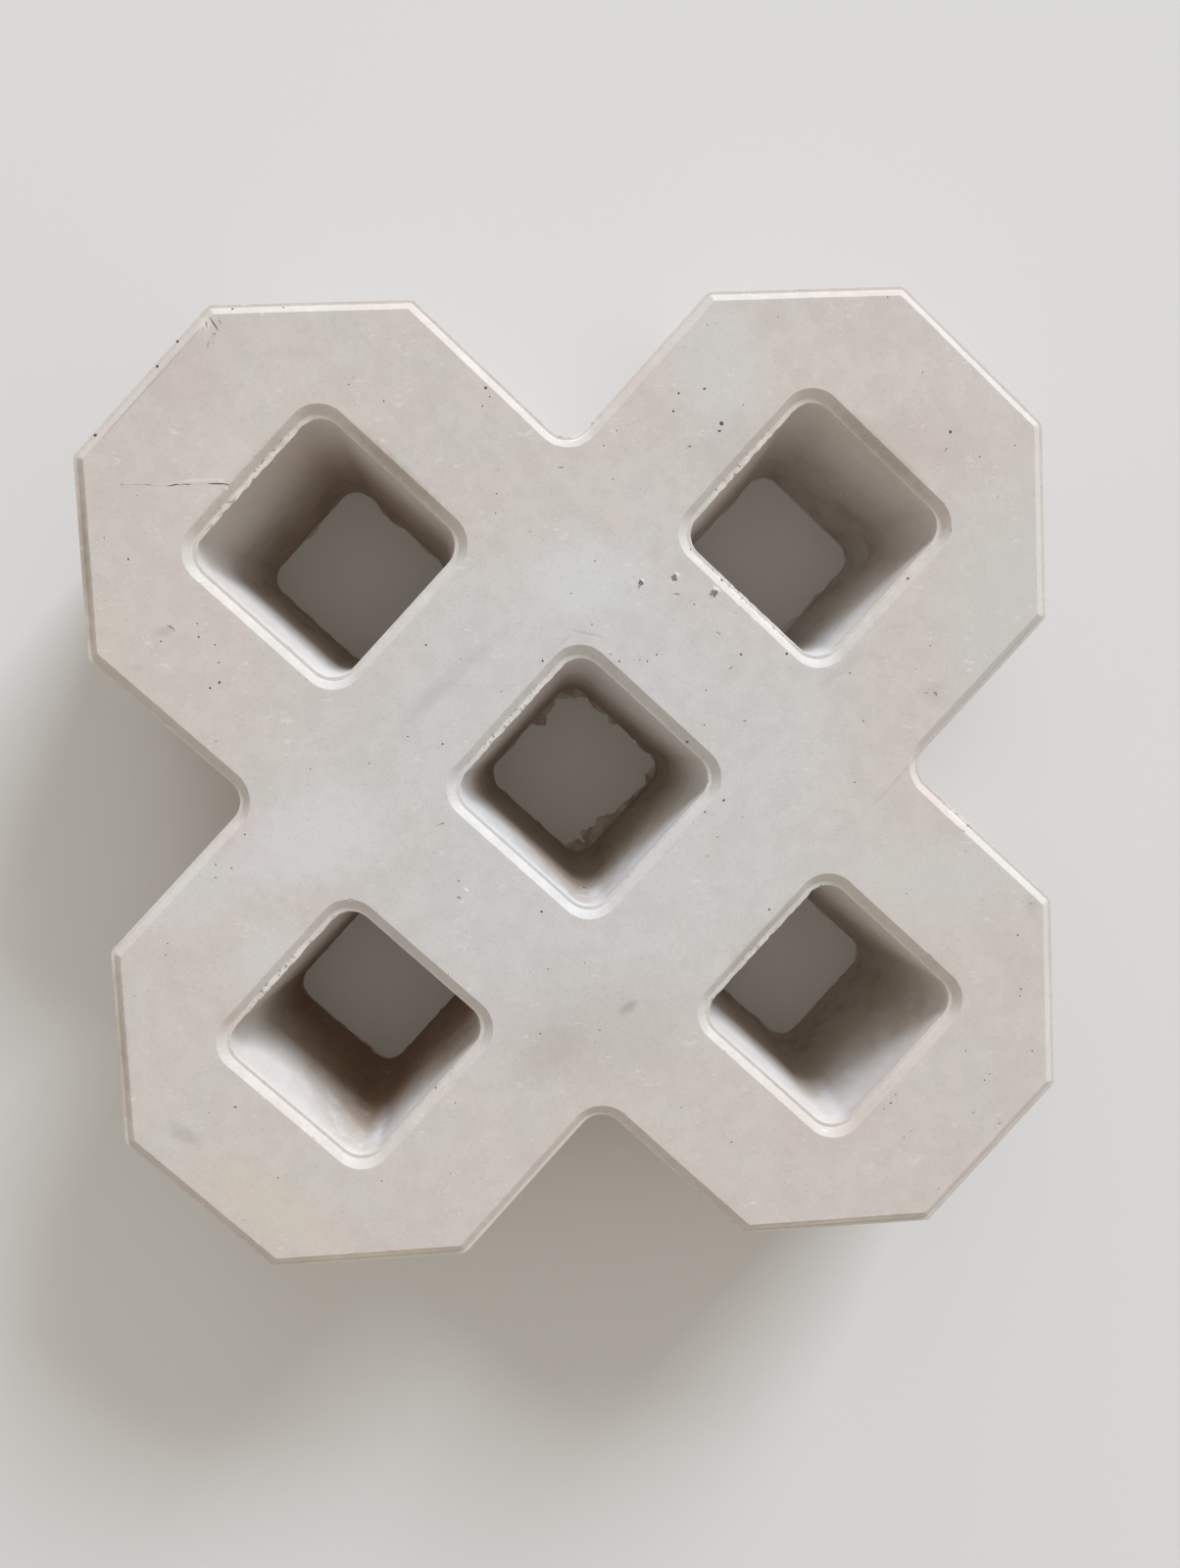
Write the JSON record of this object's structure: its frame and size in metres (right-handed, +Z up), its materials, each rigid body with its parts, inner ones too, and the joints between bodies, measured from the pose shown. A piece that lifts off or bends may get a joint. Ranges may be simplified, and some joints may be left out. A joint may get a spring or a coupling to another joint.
{
  "type": "grass paver",
  "caption": "Open-cell concrete paver: octagonal lobes joined in a square slab, with tapered square wells and V notches for grass, and a stepped, bevelled top edge.",
  "frame": {"origin": "middle of the underside, the face that lies on the ground", "axes": "+Z up to the bevelled top face; +X and +Y square to the outer sides, through the V notches"},
  "size_m": [0.4, 0.4, 0.1],
  "materials": {
    "cast_concrete": "smooth mould-cast concrete, pale warm grey, fine blowholes"
  },
  "bodies": {
    "root": {"paver_block": "cast_concrete"}
  },
  "joints": []
}
